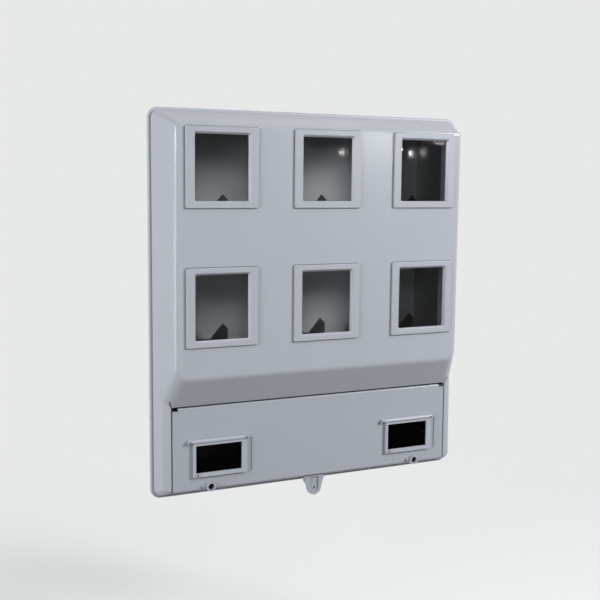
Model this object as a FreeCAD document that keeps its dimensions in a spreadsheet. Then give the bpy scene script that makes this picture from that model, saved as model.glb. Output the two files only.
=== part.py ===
import FreeCAD
import Part
import Sketcher
import math
import os

# Six-way electric meter box for a wall: a moulded base tray, a flared main cover with six framed
# windows, and a hinged lower cover with two breaker flaps. Millimetres. X runs to the right seen from
# the front, Y into the wall and Z up. The origin is the middle of the back face, on the wall.

doc = FreeCAD.newDocument("meter_box")

# Driving dimensions: name, millimetres, what it sets
DIMENSIONS = (
    ("pane_width", 87, "clear width of a meter window"),
    ("pane_height", 100.5, "clear height of a meter window"),
    ("pane_thick", 2.5, "clear pane"),
    ("pane_lap", 4, "pane behind the lip of its frame"),
    ("pane_fit", 0.2, "room round a pane in its rebate"),
    ("frame_side", 15.25, "window frame beside its pane"),
    ("frame_end", 11.1, "window frame above and below its pane"),
    ("frame_corner", 2.5, "corner radius of a window frame"),
    ("frame_raise", 3.5, "window frame above the cover face"),
    ("frame_gap", 0.8, "shadow gap round a window frame"),
    ("frame_bevel", 3, "bevel from the frame down to the pane"),
    ("frame_lip", 1.5, "lip in front of the pane"),
    ("frame_lap", 4, "frame flange behind the cover face, at the sides"),
    ("frame_lap_end", 1, "frame flange behind the cover face, above and below"),
    ("frame_flange", 2, "thickness of the frame flange"),
    ("frame_round", 1.2, "rounding of the frame's front edge"),
    ("column_gap", 62.5, "cover face between two frames of a row"),
    ("row_gap", 89.9, "cover face between the two rows of frames"),
    ("side_margin", 14.25, "cover face beside the outer frames"),
    ("top_margin", 3.85, "cover face above the top frames"),
    ("sill", 49.35, "cover face below the bottom frames"),
    ("slope_fall", 47, "height of the sloped band"),
    ("lower_height", 124.5, "sloped band down to the drawn bottom edge of the face"),
    ("case_depth", 136.5, "wall to the cover face"),
    ("cover_depth", 54, "cover face to its rim"),
    ("cover_flare", 21.25, "rim outside the face, on each side"),
    ("cover_wall", 3, "moulded wall of the main cover"),
    ("step_drop", 30.5, "lower cover behind the cover face"),
    ("face_corner", 8, "corner radius of the face"),
    ("rim_corner", 12, "corner radius of the cover's rim"),
    ("edge_round", 7, "rounding of the cover's top edge"),
    ("brow_round", 14, "rounding of the face's edges where the sloped band begins"),
    ("band_round", 24, "rounding of the sloped band's ends"),
    ("rail_round", 16, "rounding of the rails beside the lower cover, at the sloped band"),
    ("foot_round", 7, "rounding of the rails at the bottom"),
    ("rail_rise", 20, "rails carried on behind the sloped band"),
    ("inner_edge_round", 0.6, "rounding inside the cover's top edge"),
    ("inner_brow_round", 11, "rounding inside the face's edges where the sloped band begins"),
    ("inner_band_round", 19, "rounding inside the sloped band's ends"),
    ("inner_rail_round", 11, "rounding inside the rails, at the sloped band"),
    ("inner_foot_round", 3, "rounding inside the rails at the bottom"),
    ("base_side_inset", 21.25, "base wall inside the cover's rim, at the sides"),
    ("base_end_inset", 16.25, "base wall inside the cover's rim, at top and bottom"),
    ("base_corner", 20, "corner radius of the base tray"),
    ("base_wall", 3, "side walls of the base tray"),
    ("base_floor", 3.5, "back wall of the base tray"),
    ("flange_reach", 4.75, "base flange outside the cover's rim"),
    ("flange_thick", 4, "base flange"),
    ("flange_round", 3, "rounding of the base flange's front edge"),
    ("gasket_thick", 2, "rubber joint between base and cover"),
    ("gasket_width", 5, "width of the rubber joint"),
    ("gasket_inset", 1, "rubber joint inside the cover's rim"),
    ("wall_hole_side", 38, "wall holes inside the base wall"),
    ("wall_hole_head", 30, "upper wall holes below the top of the base"),
    ("wall_hole_foot", 25, "lower wall holes below the partition"),
    ("wall_hole", 8.5, "diameter of a wall hole"),
    ("wall_boss", 22, "diameter of the pad round a wall hole"),
    ("wall_boss_rise", 4, "pad above the floor of the tray"),
    ("partition_rise", 15.5, "partition above the foot of the sloped band"),
    ("partition_thick", 2.5, "partition between meters and breakers"),
    ("partition_set", 11, "front edge of the partition behind the lower cover's face"),
    ("notch_width", 18, "wire notch in the partition"),
    ("notch_depth", 26, "wire notch from the partition's front edge"),
    ("notch_pitch", 80, "between the wire notches"),
    ("cover_screw_inset", 11, "cover screw inside the base wall"),
    ("cover_screw_head_drop", 34.5, "upper cover screws below the foot of the sloped band"),
    ("cover_screw_foot_rise", 30, "lower cover screws above the lower cover's bottom edge"),
    ("cover_lug_height", 18, "lug under a cover screw"),
    ("cover_lug_thick", 3.5, "lug under a cover screw"),
    ("cover_screw", 4.8, "shank diameter of a cover screw"),
    ("cover_screw_bore", 24, "depth of a cover screw's hole"),
    ("hook_inset", 103, "hooks at the top inside the base wall"),
    ("hook_width", 36, "hook at the top of the cover"),
    ("hook_thick", 3, "tongue of a hook"),
    ("hook_offset", 2.5, "hook outside the base wall"),
    ("hook_bite", 3, "hook behind the base flange"),
    ("hook_web_set", 10.5, "web of a hook in front of the rim"),
    ("hook_room", 0.5, "room round a hook in its slot"),
    ("hook_catch_gap", 0.25, "hook behind the back of the flange"),
    ("lid_inset", 2, "lower cover inside the face's side edges"),
    ("lid_side_gap", 2.2, "gap between lower cover and rail"),
    ("lid_top_gap", 2.6, "gap under the sloped band"),
    ("lid_foot_gap", 0.5, "lower cover in front of the rubber joint"),
    ("lid_wall", 3, "moulded wall of the lower cover"),
    ("lid_return", 13, "side walls of the lower cover"),
    ("lid_round", 2.5, "rounding of the lower cover's edges"),
    ("hinge_drop", 4.5, "hinge axis below the lower cover's top edge"),
    ("hinge_inset", 4.5, "hinge axis behind the lower cover's face"),
    ("hinge_pin", 4, "diameter of the lower cover's hinge pins"),
    ("hinge_lug", 9, "width of a hinge lug on the lower cover"),
    ("hinge_reach", 6, "hinge pin inside the rail"),
    ("hinge_notch_width", 9.6, "notch in the lower cover's upper corners"),
    ("hinge_notch_depth", 4.5, "notch in the lower cover's upper corners"),
    ("hinge_wall", 3, "plastic round a hinge pin"),
    ("hinge_lug_wall", 2, "plastic round a hinge pin in the lower cover's lug"),
    ("pin_fit", 0.05, "room round a pin, on the radius"),
    ("pin_room", 0.5, "room past the end of a hinge pin"),
    ("relief_width", 2, "slit at each end of the sloped band"),
    ("relief_height", 10.5, "slit at each end of the sloped band"),
    ("relief_lean", 4.5, "slit's top end outside its foot"),
    ("gate_mark_width", 6, "moulding mark on the lower cover"),
    ("gate_mark_height", 1.4, "moulding mark on the lower cover"),
    ("gate_mark_depth", 1, "moulding mark on the lower cover"),
    ("breaker_inset", 76, "middle of a breaker window inside the lower cover's end"),
    ("breaker_below", 86.5, "breaker windows below the foot of the sloped band"),
    ("breaker_width", 78, "clear width of a breaker window"),
    ("breaker_height", 44.5, "clear height of a breaker window"),
    ("flap_thick", 4.3, "breaker flap"),
    ("flap_rest", 0.4, "flap in front of the lower cover"),
    ("flap_left", 4, "left border of a flap"),
    ("flap_right", 9, "right border of a flap"),
    ("flap_top", 3, "top border of a flap"),
    ("flap_bottom", 6.5, "bottom border of a flap"),
    ("flap_corner", 1.5, "corner radius of a flap"),
    ("flap_axis", 6.6, "flap hinge above the breaker window"),
    ("flap_barrel", 6.4, "diameter of the flap's hinge barrel"),
    ("flap_barrel_reach", 2, "hinge barrel past the right edge of the window"),
    ("flap_pin", 2.5, "diameter of the flap's hinge pin"),
    ("flap_ear", 8, "length of an ear that holds the pin"),
    ("flap_pin_reach", 2.6, "pin inside an ear"),
    ("flap_ear_eye", 3, "eye at the free end of an ear"),
    ("flap_ear_eye_set", 2.6, "eye from the free end of an ear"),
    ("flap_end_gap", 0.4, "room between barrel and ear"),
    ("flap_pane_thick", 1.5, "clear pane of a flap"),
    ("flap_pane_lap", 2, "flap pane behind its border"),
    ("finger_lap", 4, "finger recess under the flap's edge"),
    ("finger_reach", 10, "finger recess beside a flap"),
    ("finger_depth", 1, "finger recess beside a flap"),
    ("eyelet", 3.2, "seal hole in a flap"),
    ("eyelet_ring", 6.4, "ring round the seal hole in a flap"),
    ("eyelet_rise", 1, "ring in front of the flap"),
    ("seal_inset", 62, "sealing screw inside the lower cover's end"),
    ("seal_rise", 4.5, "sealing screws above the lower cover's bottom edge"),
    ("collar", 15.5, "diameter of a sealing collar"),
    ("collar_wall", 2.6, "wall of a sealing collar"),
    ("collar_reach", 7, "collar in front of the lower cover"),
    ("collar_length", 18, "whole length of a sealing collar"),
    ("seal_head_depth", 8, "seat of a sealing screw behind the collar's front"),
    ("seal_head", 4, "height of a sealing screw's head"),
    ("seal_head_room", 0.3, "room round the head of a sealing screw"),
    ("seal_shank", 5, "shank diameter of a sealing screw"),
    ("seal_tail", 3, "sealing screw behind its collar"),
    ("seal_tail_gap", 0.6, "sealing screw in front of its boss"),
    ("seal_wire_hole", 2.2, "wire hole beside a collar"),
    ("seal_wire_side", 10.4, "wire hole left of a collar"),
    ("seal_wire_rise", 0.5, "wire hole above a collar's middle"),
    ("seal_wire_boss", 6, "diameter of the boss round a wire hole"),
    ("seal_wire_reach", 4, "boss of a wire hole in front of the lower cover"),
    ("seal_boss", 8, "boss on the base behind a sealing screw"),
    ("lug_root", 42, "seal lug at its root"),
    ("lug_tip", 25, "diameter of the seal lug's round end"),
    ("lug_hang", 24.5, "hole of the seal lug below the lower cover's bottom edge"),
    ("lug_inset", 6, "seal lug behind the lower cover's face"),
    ("lug_thick", 6, "seal lug"),
    ("lug_rim", 4.5, "raised rim of the seal lug"),
    ("lug_channel", 2.5, "depth of the channel in the seal lug"),
    ("lug_channel_head", 6, "channel below the lower cover's bottom edge"),
    ("lug_hole", 6, "hole of the seal lug"),
    ("keeper_thick", 3, "base lug behind the seal lug"),
    ("keeper_inset", 3.5, "base lug inside the seal lug's outline"),
    ("keeper_gap", 0.6, "room between the two lugs"),
    ("bracket_width", 96, "meter bracket"),
    ("bracket_height", 64, "meter bracket"),
    ("bracket_drop", 41, "bracket tips below the window centre"),
    ("bracket_front", 37.5, "front of a bracket from the wall"),
    ("bracket_thick", 4, "meter bracket"),
    ("bracket_tip", 40, "bracket tip beside the bracket's middle"),
    ("bracket_shoulder", 8, "outer shoulder below a bracket's tip"),
    ("bracket_hollow", 24, "depth of the hollow between a bracket's tips"),
    ("bracket_hollow_foot", 38, "width of that hollow at its foot"),
    ("bracket_screw_pitch", 60, "between a bracket's screws"),
    ("bracket_screw_drop", 85, "bracket screws below the window centre"),
    ("bracket_slot_width", 9, "meter slot of a bracket"),
    ("bracket_slot_height", 24, "meter slot of a bracket"),
    ("post", 12, "diameter of a post in the tray"),
    ("post_bore", 16, "depth of the screw hole in a post"),
    ("small_screw", 4, "shank diameter of the inner screws"),
    ("small_screw_head", 8, "head diameter of the inner screws"),
    ("small_screw_rise", 2.6, "head height of the inner screws"),
    ("small_screw_length", 12, "shank length of the inner screws"),
    ("screw_fit", 0.1, "room round a screw, on the radius"),
    ("rail_length", 110, "top-hat rail"),
    ("rail_width", 35, "top-hat rail"),
    ("rail_web", 25, "back of the top-hat rail"),
    ("rail_depth", 7.5, "top-hat rail"),
    ("rail_sheet", 1, "sheet of the top-hat rail"),
    ("rail_front", 46, "front of the top-hat rail from the wall"),
    ("rail_screw_pitch", 80, "between the screws of a rail"),
    ("bar_length", 104, "neutral bar"),
    ("bar_height", 9, "neutral bar"),
    ("bar_thick", 8, "neutral bar"),
    ("bar_rise", 20, "neutral bar above the breaker windows' middle"),
    ("bar_back", 40, "back of the neutral bar from the wall"),
    ("bar_hole", 4.6, "wire hole in the neutral bar"),
    ("bar_hole_set", 3.2, "wire holes in front of the bar's back"),
    ("bar_hole_pitch", 11, "between the wire holes"),
    ("bar_clamp_head", 5.6, "head diameter of a clamp screw"),
    ("bar_screw_pitch", 90, "between the supports of the bar"),
    ("bar_screw_length", 13, "shank length of the bar's fixing screws"),
    ("bar_support", 14, "diameter of a bar support"),
    ("bar_support_bore", 10, "depth of the screw hole in a bar support"),
    ("entry_pitch", 120, "between the cable entries"),
    ("entry_hole", 32, "cable entry in the floor of the case"),
    ("entry_back", 40, "cable entries from the wall"),
    ("grommet_lip", 3, "grommet lip round its hole"),
    ("grommet_lip_thick", 2.5, "grommet lip"),
    ("grommet_bore", 20, "bore of a grommet"),
    ("grommet_fit", 0.1, "room round a grommet in its hole, on the radius"),
    ("cut_over", 10, "how far a cutting block runs past what it cuts"),
    ("cut_past", 1, "how far a drill runs past what it cuts"),
)

sheet = doc.addObject("Spreadsheet::Sheet", "dims")
for row, (name, number, meaning) in enumerate(DIMENSIONS, 1):
    sheet.set(f"A{row}", meaning)
    sheet.set(f"B{row}", str(number))
    sheet.setAlias(f"B{row}", name)
doc.recompute()


class Size:
    """A length that keeps its number and the sheet formula that it comes from."""

    def __init__(self, number, formula):
        self.number = float(number)
        self.formula = formula

    def __add__(self, other):
        other = size(other)
        return Size(self.number + other.number, f"({self.formula} + {other.formula})")

    def __sub__(self, other):
        other = size(other)
        return Size(self.number - other.number, f"({self.formula} - {other.formula})")

    def __mul__(self, other):
        other = size(other)
        return Size(self.number * other.number, f"({self.formula} * {other.formula})")

    def __truediv__(self, other):
        other = size(other)
        return Size(self.number / other.number, f"({self.formula} / {other.formula})")

    def __neg__(self):
        return Size(-self.number, f"(-{self.formula})")

    def __radd__(self, other):
        return size(other) + self

    def __rmul__(self, other):
        return size(other) * self


def size(value):
    """Take a plain number as a Size; a Size stays as it is."""
    return value if isinstance(value, Size) else Size(value, f"({float(value)!r})")


def root(value):
    return Size(math.sqrt(value.number), f"sqrt({value.formula})")


class Sheet:
    """Every cell of the sheet by its name."""

    def __getattr__(self, name):
        return Size(sheet.get(name), f"dims.{name}")


d = Sheet()
ZERO = size(0)


def span(middle, width):
    """Low and high end of a stretch about its middle."""
    return middle - width / 2, middle + width / 2


def on_side(side, near, far):
    """Low and high X of a stretch given for the right side, or of its mirror image."""
    return (near, far) if side > 0 else (-far, -near)


# Builders: each makes one object of the document and binds its sizes to the sheet

def bind(thing, path, value):
    thing.setExpression(path, size(value).formula)


def place(thing, x=ZERO, y=ZERO, z=ZERO):
    for axis, value in zip("xyz", (x, y, z)):
        bind(thing, f"Placement.Base.{axis}", value)


def box(name, x, y, z):
    """Block between the low and high ends given for X, Y and Z."""
    made = doc.addObject("Part::Box", name)
    for side, (low, high) in zip(("Length", "Width", "Height"), (x, y, z)):
        bind(made, side, size(high) - size(low))
    place(made, x[0], y[0], z[0])
    return made


TURNS = {
    "x": FreeCAD.Rotation(FreeCAD.Vector(0, 1, 0), 90),
    "y": FreeCAD.Rotation(FreeCAD.Vector(1, 0, 0), -90),
    "z": FreeCAD.Rotation(),
}


def rod(name, axis, diameter, ends, x=ZERO, y=ZERO, z=ZERO):
    """Cylinder along one axis between two ends; the other two coordinates place its centre line."""
    made = doc.addObject("Part::Cylinder", name)
    made.Placement = FreeCAD.Placement(FreeCAD.Vector(), TURNS[axis])
    bind(made, "Radius", size(diameter) / 2)
    bind(made, "Height", size(ends[1]) - size(ends[0]))
    spot = {"x": x, "y": y, "z": z}
    spot[axis] = ends[0]
    place(made, **spot)
    return made


def new_sketch(body, role, offset):
    """Sketch on one of the body's own planes, moved along the plane's normal."""
    sketch = body.newObject("Sketcher::SketchObject", body.Name + "_sketch")
    plane = [item for item in body.Origin.OriginFeatures if item.Role == role][0]
    sketch.AttachmentSupport = [(plane, "")]
    sketch.MapMode = "FlatFace"
    bind(sketch, "AttachmentOffset.Base.z", offset)
    return sketch


def add_dimension(sketch, value, kind, *where):
    index = sketch.addConstraint(Sketcher.Constraint(kind, *where, size(value).number))
    bind(sketch, f"Constraints[{index}]", value)


def rounded_outline(body, y, width, height, radius):
    """Sketch of a rectangle with round corners about the body's Y axis, in the plane at y."""
    sketch = new_sketch(body, "XZ_Plane", -size(y))
    half_x = size(width).number / 2
    half_z = size(height).number / 2
    corner = size(radius).number
    flat_x = half_x - corner
    flat_z = half_z - corner
    ends = (
        ((-flat_x, -half_z), (flat_x, -half_z)),
        ((half_x, -flat_z), (half_x, flat_z)),
        ((flat_x, half_z), (-flat_x, half_z)),
        ((-half_x, flat_z), (-half_x, -flat_z)),
    )
    middles = ((flat_x, -flat_z), (flat_x, flat_z), (-flat_x, flat_z), (-flat_x, -flat_z))
    for start, end in ends:
        sketch.addGeometry(Part.LineSegment(FreeCAD.Vector(*start, 0), FreeCAD.Vector(*end, 0)))
    for quarter, middle in enumerate(middles):
        circle = Part.Circle(FreeCAD.Vector(*middle, 0), FreeCAD.Vector(0, 0, 1), corner)
        start = (quarter - 1) * math.pi / 2
        sketch.addGeometry(Part.ArcOfCircle(circle, start, start + math.pi / 2))
    for side in range(4):
        arc = side + 4
        sketch.addConstraint(Sketcher.Constraint("Tangent", side, 2, arc, 1))
        sketch.addConstraint(Sketcher.Constraint("Tangent", arc, 2, (side + 1) % 4, 1))
        sketch.addConstraint(Sketcher.Constraint("Vertical" if side % 2 else "Horizontal", side))
    for arc in (5, 6, 7):
        sketch.addConstraint(Sketcher.Constraint("Equal", 4, arc))
    sketch.addConstraint(Sketcher.Constraint("Symmetric", 4, 3, 6, 3, -1, 1))
    add_dimension(sketch, width, "DistanceX", 3, 1, 1, 1)
    add_dimension(sketch, height, "DistanceY", 0, 1, 2, 1)
    add_dimension(sketch, radius, "Radius", 4)
    return sketch


def rounded_block(name, width, height, radius, y, x=ZERO, z=ZERO):
    """Block with round corners, its front and back at the two ends of y."""
    body = doc.addObject("PartDesign::Body", name)
    pad = body.newObject("PartDesign::Pad", name + "_pad")
    pad.Profile = rounded_outline(body, y[1], width, height, radius)
    bind(pad, "Length", size(y[1]) - size(y[0]))
    place(body, x=x, z=z)
    return body


def rounded_loft(name, back, front, x=ZERO, z=ZERO):
    """Straight-sided block between two rounded outlines, each given as y, width, height, radius."""
    body = doc.addObject("PartDesign::Body", name)
    loft = body.newObject("PartDesign::AdditiveLoft", name + "_loft")
    loft.Profile = rounded_outline(body, *back)
    loft.Sections = [rounded_outline(body, *front)]
    loft.Ruled = True
    place(body, x=x, z=z)
    return body


def profile_block(name, role, points, start, length):
    """Block with a polygon for its section, drawn on one plane and drawn out along its normal."""
    body = doc.addObject("PartDesign::Body", name)
    sketch = new_sketch(body, role, start)
    corners = [(size(u), size(v)) for u, v in points]
    count = len(corners)
    for index, (u, v) in enumerate(corners):
        far_u, far_v = corners[(index + 1) % count]
        near = FreeCAD.Vector(u.number, v.number, 0)
        far = FreeCAD.Vector(far_u.number, far_v.number, 0)
        sketch.addGeometry(Part.LineSegment(near, far))
    for index in range(count):
        sketch.addConstraint(Sketcher.Constraint("Coincident", index, 2, (index + 1) % count, 1))
    for index, (u, v) in enumerate(corners):
        add_dimension(sketch, u, "DistanceX", -1, 1, index, 1)
        add_dimension(sketch, v, "DistanceY", -1, 1, index, 1)
    pad = body.newObject("PartDesign::Pad", name + "_pad")
    pad.Profile = sketch
    bind(pad, "Length", length)
    return body


def fuse(name, *pieces):
    made = doc.addObject("Part::MultiFuse", name)
    made.Shapes = list(pieces)
    made.Refine = True
    return made


def cut(name, base, *tools):
    made = doc.addObject("Part::Cut", name)
    made.Base = base
    made.Tool = tools[0] if len(tools) == 1 else fuse(name + "_tools", *tools)
    made.Refine = True
    return made


def common(name, *pieces):
    made = doc.addObject("Part::MultiCommon", name)
    made.Shapes = list(pieces)
    return made


def fillet(name, base, radius_of):
    """Round edges of base, with the radius given for each end of an edge; no radius leaves it sharp."""
    doc.recompute()
    made = doc.addObject("Part::Fillet", name)
    made.Base = base
    rounds = []
    for index, edge in enumerate(base.Shape.Edges, 1):
        first = radius_of(edge, edge.valueAt(edge.FirstParameter))
        last = radius_of(edge, edge.valueAt(edge.LastParameter))
        if first and last:
            rounds.append((index, first, last))
    made.Edges = rounds
    return made


def group(name, *pieces):
    made = doc.addObject("Part::Compound", name)
    made.Links = list(pieces)
    return made


subparts = []


def subpart(name, thing):
    """Name a finished piece; its label names its file."""
    thing.Label = name
    subparts.append(thing)
    return thing


SAME_PLACE = 0.01


def on_plane(edge, axis, value):
    """Whether the whole edge lies in the plane where that axis has the value."""
    low = getattr(edge.BoundBox, axis + "Min")
    high = getattr(edge.BoundBox, axis + "Max")
    return max(abs(low - value.number), abs(high - value.number)) < SAME_PLACE


SIDES = (("left", -1), ("right", 1))
COLUMNS = (("left", -1), ("middle", 0), ("right", 1))


# Heights and widths of the front, from the windows outwards

frame_width = d.pane_width + d.frame_side * 2
frame_height = d.pane_height + d.frame_end * 2
column_pitch = frame_width + d.column_gap
row_pitch = frame_height + d.row_gap
face_width = column_pitch * 2 + frame_width + d.side_margin * 2
face_height = d.top_margin + frame_height + row_pitch + d.sill + d.slope_fall + d.lower_height
top_row_z = face_height / 2 - d.top_margin - frame_height / 2
ROWS = (("top", top_row_z), ("bottom", top_row_z - row_pitch))
window_spots = [
    (f"{row_name}_{column_name}", column_pitch * column, row_z)
    for row_name, row_z in ROWS
    for column_name, column in COLUMNS
]
slope_foot_z = d.lower_height - face_height / 2
slope_top_z = slope_foot_z + d.slope_fall

# Planes across the depth of the case, from the front to the wall

face_y = -d.case_depth
step_y = face_y + d.step_drop
rim_y = face_y + d.cover_depth
flange_y = rim_y + d.gasket_thick
flange_back_y = flange_y + d.flange_thick
floor_y = -d.base_floor
in_floor_y = floor_y / 2

# The flare of the cover's sides, and what hangs on it

flare_rate = d.cover_flare / d.cover_depth
flare_stretch = root(1 + flare_rate * flare_rate)
lower_edge_z = -(face_height / 2 + flare_rate * d.step_drop)
rim_half_width = face_width / 2 + d.cover_flare
rim_half_height = face_height / 2 + d.cover_flare
corner_rate = (d.rim_corner - d.face_corner) / d.cover_depth
base_half_width = rim_half_width - d.base_side_inset
base_half_height = rim_half_height - d.base_end_inset
flange_low_z = -(rim_half_height + d.flange_reach)


# Window frames and panes: a raised frame put in from behind, with the pane in its rebate

frame_back_y = face_y + d.cover_wall + d.frame_flange
pane_front_y = face_y + d.frame_lip


def window_frame(name, x, z):
    front_y = face_y - d.frame_raise
    depth = (front_y, frame_back_y)
    rim = rounded_block("rim_" + name, frame_width, frame_height, d.frame_corner, depth, x, z)
    rim_round = fillet(
        "rim_round_" + name, rim, lambda edge, point: on_plane(edge, "Y", front_y) and d.frame_round.number)
    flange = rounded_block(
        "flange_" + name, frame_width + d.frame_lap * 2, frame_height + d.frame_lap_end * 2,
        d.frame_corner, (face_y + d.cover_wall, frame_back_y), x, z)
    mouth_width = d.pane_width + d.frame_bevel * 2
    mouth_height = d.pane_height + d.frame_bevel * 2
    mouth = rounded_loft(
        "mouth_" + name, (face_y, d.pane_width, d.pane_height, d.frame_corner),
        (front_y, mouth_width, mouth_height, d.frame_corner), x, z)
    behind = frame_back_y + d.cut_over
    throat = box("throat_" + name, span(x, d.pane_width), (face_y, behind), span(z, d.pane_height))
    rebate_room = d.pane_lap * 2 + d.pane_fit * 2
    rebate = box(
        "rebate_" + name, span(x, d.pane_width + rebate_room), (pane_front_y, behind),
        span(z, d.pane_height + rebate_room))
    solid = fuse("frame_solid_" + name, rim_round, flange)
    subpart("window_frame_" + name, cut("frame_" + name, solid, mouth, throat, rebate))


def window_pane(name, x, z):
    subpart("window_pane_" + name, box(
        "pane_" + name, span(x, d.pane_width + d.pane_lap * 2),
        (pane_front_y, pane_front_y + d.pane_thick), span(z, d.pane_height + d.pane_lap * 2)))


for spot in window_spots:
    window_frame(*spot)
    window_pane(*spot)


# Main cover: a flared shell, cut back to the lower cover's plane below the sloped band

lid_half = face_width / 2 - d.lid_inset
opening_half = lid_half + d.lid_side_gap
lid_top_z = slope_foot_z - d.lid_top_gap
hinge_y = step_y + d.hinge_inset
hinge_z = lid_top_z - d.hinge_drop
hinge_block = d.hinge_pin + d.hinge_wall * 2
lid_pin_end = opening_half + d.hinge_reach
side_wall = d.cover_wall * flare_stretch
slope_rate = d.slope_fall / d.step_drop
slope_run = d.step_drop / d.slope_fall
slope_wall = d.cover_wall * root(1 + slope_run * slope_run)
cover_screw_x = base_half_width - d.cover_screw_inset
cover_screw_heights = (slope_foot_z - d.cover_screw_head_drop, lower_edge_z + d.cover_screw_foot_rise)
cover_screw_spots = [
    (f"{side_name}_{index}", side, side * cover_screw_x, z)
    for side_name, side in SIDES
    for index, z in enumerate(cover_screw_heights)
]
hook_x = base_half_width - d.hook_inset
hook_low_z = base_half_height + d.hook_offset
hook_high_z = hook_low_z + d.hook_thick


def cover_section(y, inside=ZERO):
    """Outline of the flared cover at one depth, less a wall on each side."""
    grow = flare_rate * (y - face_y) - inside
    corner = d.face_corner + corner_rate * (y - face_y) - inside
    return y, face_width + grow * 2, face_height + grow * 2, corner


def band_z(y, wall):
    """Height of the sloped band at one depth, set back along Y by a wall."""
    return slope_top_z - (y - face_y - wall) * slope_rate


def cover_form(name, back_y, walls, rounds):
    """The cover's form, or the hollow inside its side, front and band walls: an upper body that ends in
    the sloped band, joined to a flatter one in the lower cover's plane. The rounds are those of the top
    edge, of the face's edges at the band, of the band's ends, and of the rails at the band and the foot."""
    side_wall, front_wall, band_wall = walls
    top_round, brow_round, band_round, rail_round, foot_round = [value.number for value in rounds]
    front_y = face_y + front_wall
    block = rounded_loft(name + "_block", cover_section(back_y, side_wall), cover_section(front_y, side_wall))
    near_y = front_y - d.cut_over
    far_y = back_y + d.cut_over
    points = (
        (near_y, band_z(near_y, band_wall)), (far_y, band_z(far_y, band_wall)),
        (far_y, -face_height), (near_y, -face_height),
    )
    below = profile_block(name + "_below", "YZ_Plane", points, -face_width, face_width * 2)
    sloped = cut(name + "_sloped", block, below)

    def upper_round(edge, point):
        ends = [(vertex.Point.z, band_z(size(vertex.Point.y), band_wall).number) for vertex in edge.Vertexes]
        on_band = max(abs(z - level) for z, level in ends) < SAME_PLACE
        if not on_plane(edge, "Y", front_y):
            return on_band and not on_plane(edge, "Y", back_y) and band_round
        above = (point.z - slope_top_z.number) / (face_height.number / 2 - slope_top_z.number)
        return brow_round + (top_round - brow_round) * min(1, max(0, above))

    upper = fillet(name + "_upper", sloped, upper_round)
    low_y = step_y + front_wall
    rail_z = slope_foot_z + d.rail_rise
    slab = rounded_loft(name + "_slab", cover_section(back_y, side_wall), cover_section(low_y, side_wall))
    above = box(
        name + "_above", (-face_width, face_width), (low_y - d.cut_over, far_y), (rail_z, face_height))
    rails = cut(name + "_rails", slab, above)

    def lower_round(edge, point):
        along = (point.z - lower_edge_z.number) / (rail_z.number - lower_edge_z.number)
        wanted = on_plane(edge, "Y", low_y) and not on_plane(edge, "Z", rail_z)
        return wanted and foot_round + (rail_round - foot_round) * along

    return fuse(name, upper, fillet(name + "_lower", rails, lower_round))


def cover_openings():
    made = [
        rounded_block(
            "window_hole_" + name, frame_width + d.frame_gap * 2, frame_height + d.frame_gap * 2,
            d.frame_corner + d.frame_gap, (face_y - d.cut_over, face_y + d.cover_wall + d.cut_past), x, z)
        for name, x, z in window_spots
    ]
    made.append(box(
        "lid_opening", (-opening_half, opening_half), (step_y - d.cut_over, rim_y + d.cut_over),
        (-face_height, slope_foot_z)))
    for side_name, side in SIDES:
        foot = opening_half - d.relief_width
        head = foot + d.relief_lean
        low_z = slope_foot_z - d.cut_past
        high_z = slope_foot_z + d.relief_height
        points = (
            (side * foot, low_z), (side * opening_half, low_z),
            (side * (head + d.relief_width), high_z), (side * head, high_z),
        )
        made.append(profile_block("relief_" + side_name, "XZ_Plane", points, -hinge_y, hinge_y - face_y))
    return made


def cover_fittings(outside):
    """Hinge bosses in the rails, kept inside the cover's form, lugs for its screws and hooks at the top."""
    made = []
    wall_at_hinge = face_width / 2 + flare_rate * (d.step_drop + d.hinge_inset) - side_wall / 2
    wall_at_rim = rim_half_width - side_wall + flare_rate * d.cut_past
    for side_name, side in SIDES:
        block = box(
            "hinge_block_" + side_name, on_side(side, opening_half, wall_at_hinge),
            (step_y + d.cover_wall / 2, hinge_y + hinge_block / 2), span(hinge_z, hinge_block))
        made.append(common("hinge_boss_" + side_name, block, outside))
    lug_inner = cover_screw_x - d.cover_lug_height / 2
    for name, side, x, z in cover_screw_spots:
        made.append(box(
            "cover_lug_" + name, on_side(side, lug_inner, wall_at_rim), (rim_y - d.cover_lug_thick, rim_y),
            span(z, d.cover_lug_height)))
    web_y = rim_y - d.hook_web_set
    wall_at_web = face_height / 2 + flare_rate * (web_y - face_y) - side_wall / 2
    catch_y = flange_back_y + d.hook_catch_gap
    catch_end_y = catch_y + d.hook_thick
    for side_name, side in SIDES:
        ends = span(side * hook_x, d.hook_width)
        web_depth = (web_y, web_y + d.hook_thick)
        made.append(box("hook_web_" + side_name, ends, web_depth, (hook_low_z, wall_at_web)))
        made.append(box("hook_tongue_" + side_name, ends, (web_y, catch_end_y), (hook_low_z, hook_high_z)))
        made.append(box(
            "hook_catch_" + side_name, ends, (catch_y, catch_end_y),
            (hook_low_z, hook_high_z + d.hook_bite)))
    return made


def cover_bores():
    made = []
    for side_name, side in SIDES:
        ends = on_side(side, opening_half - d.cut_past, lid_pin_end + d.pin_room)
        made.append(rod(
            "hinge_bore_" + side_name, "x", d.hinge_pin + d.pin_fit * 2, ends, y=hinge_y, z=hinge_z))
    for name, side, x, z in cover_screw_spots:
        made.append(rod(
            "cover_lug_hole_" + name, "y", d.cover_screw + d.screw_fit * 2,
            (rim_y - d.cover_lug_thick - d.cut_past, rim_y + d.cut_past), x=x, z=z))
    return made


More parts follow.
